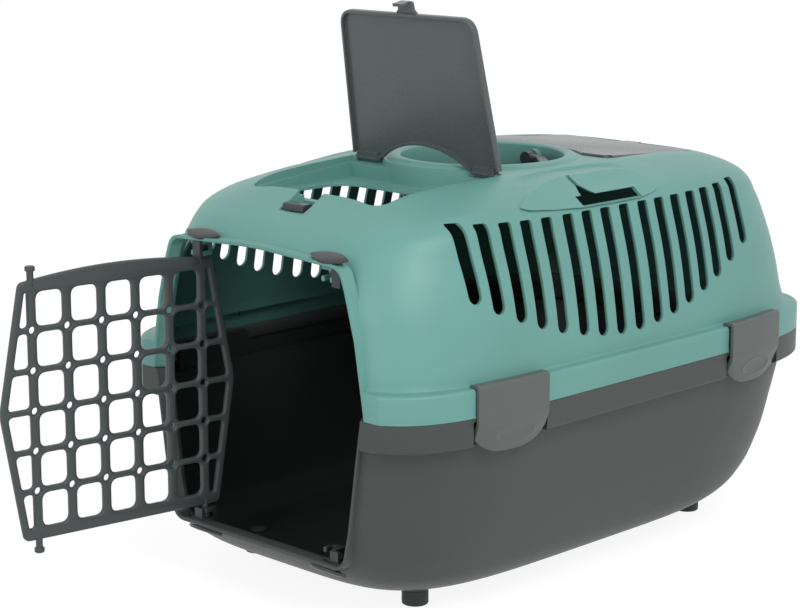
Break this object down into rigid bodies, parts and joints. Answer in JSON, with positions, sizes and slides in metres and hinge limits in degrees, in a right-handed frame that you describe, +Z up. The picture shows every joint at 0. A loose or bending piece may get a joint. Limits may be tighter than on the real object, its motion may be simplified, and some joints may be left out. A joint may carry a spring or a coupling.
{
  "type": "pet carrier",
  "caption": "Small pet carrier: a tray and a vented roof shell held together by side clips, with a grille door, hinged roof lids and a folding handle in a round bowl.",
  "frame": {"origin": "middle of the tray's flat underside, 16 mm above the floor that the feet stand on", "axes": "+Z up, +Y from the doorway to the rear end, +X to the right of someone who looks in through the doorway, so the doorway faces -Y"},
  "size_m": [0.3806, 0.7147, 0.4774],
  "materials": {
    "green_shell": "fine-textured moulded plastic",
    "grey_tray": "fine-textured moulded plastic",
    "grey_clip": "satin moulded plastic",
    "grey_lid": "fine-textured moulded plastic",
    "grey_door": "satin moulded plastic",
    "dark_trim": "satin moulded plastic",
    "dark_foot": "matt moulded plastic"
  },
  "bodies": {
    "shell": {"tray": "grey_tray", "roof_shell": "green_shell", "foot_front_left": "dark_foot", "foot_front_right": "dark_foot", "foot_rear_left": "dark_foot", "foot_rear_right": "dark_foot"},
    "door": {"door_grille": "grey_door"},
    "front_lid": {"front_lid": "grey_lid"},
    "rear_lid": {"rear_lid": "grey_lid"},
    "front_catch": {"front_lid_catch": "dark_trim"},
    "rear_catch": {"rear_lid_catch": "dark_trim"},
    "handle": {"carry_handle": "dark_trim"},
    "clip_front_left": {"clip_front_left": "grey_clip"},
    "clip_front_right": {"clip_front_right": "grey_clip"},
    "clip_rear_left": {"clip_rear_left": "grey_clip"},
    "clip_rear_right": {"clip_rear_right": "grey_clip"},
    "lever_top_left": {"door_lever_top_left": "dark_trim"},
    "lever_bottom_left": {"door_lever_bottom_left": "dark_trim"},
    "lever_top_right": {"door_lever_top_right": "dark_trim"},
    "lever_bottom_right": {"door_lever_bottom_right": "dark_trim"}
  },
  "joints": [
    {"name": "door_swing", "type": "hinge", "parent": "shell", "child": "door", "pos_m": [-0.0778, -0.2555, 0], "axis": [0, 0, 1], "range_deg": [-37, 98]},
    {"name": "front_lid_hinge", "type": "hinge", "parent": "shell", "child": "front_lid", "pos_m": [0, -0.07, 0.3214], "axis": [-1, 0, 0], "range_deg": [-83, 14]},
    {"name": "rear_lid_hinge", "type": "hinge", "parent": "shell", "child": "rear_lid", "pos_m": [0, 0.07, 0.3214], "axis": [1, 0, 0], "range_deg": [0, 97]},
    {"name": "front_catch_slide", "type": "slide", "parent": "shell", "child": "front_catch", "axis": [0, -1, 0], "range_m": [0, 0.003]},
    {"name": "rear_catch_slide", "type": "slide", "parent": "shell", "child": "rear_catch", "axis": [0, 1, 0], "range_m": [0, 0.003]},
    {"name": "handle_fold", "type": "hinge", "parent": "shell", "child": "handle", "pos_m": [0, 0, 0.3145], "axis": [0, -1, 0], "range_deg": [0, 180]},
    {"name": "clip_front_left_tilt", "type": "hinge", "parent": "shell", "child": "clip_front_left", "pos_m": [-0.17741, -0.16208, 0.147], "axis": [0.0694, -0.9976, 0], "range_deg": [0, 20]},
    {"name": "clip_front_right_tilt", "type": "hinge", "parent": "shell", "child": "clip_front_right", "pos_m": [0.17741, -0.16208, 0.147], "axis": [0.0694, 0.9976, 0], "range_deg": [0, 20]},
    {"name": "clip_rear_left_tilt", "type": "hinge", "parent": "shell", "child": "clip_rear_left", "pos_m": [-0.17724, 0.16204, 0.147], "axis": [-0.0774, -0.997, 0], "range_deg": [0, 20]},
    {"name": "clip_rear_right_tilt", "type": "hinge", "parent": "shell", "child": "clip_rear_right", "pos_m": [0.17724, 0.16204, 0.147], "axis": [-0.0774, 0.997, 0], "range_deg": [0, 20]},
    {"name": "lever_top_left_slide", "type": "slide", "parent": "shell", "child": "lever_top_left", "axis": [-1, 0, 0], "range_m": [0, 0.009]},
    {"name": "lever_bottom_left_slide", "type": "slide", "parent": "shell", "child": "lever_bottom_left", "axis": [-1, 0, 0], "range_m": [0, 0.009]},
    {"name": "lever_top_right_slide", "type": "slide", "parent": "shell", "child": "lever_top_right", "axis": [-1, 0, 0], "range_m": [0, 0.009]},
    {"name": "lever_bottom_right_slide", "type": "slide", "parent": "shell", "child": "lever_bottom_right", "axis": [-1, 0, 0], "range_m": [0, 0.009]}
  ]
}
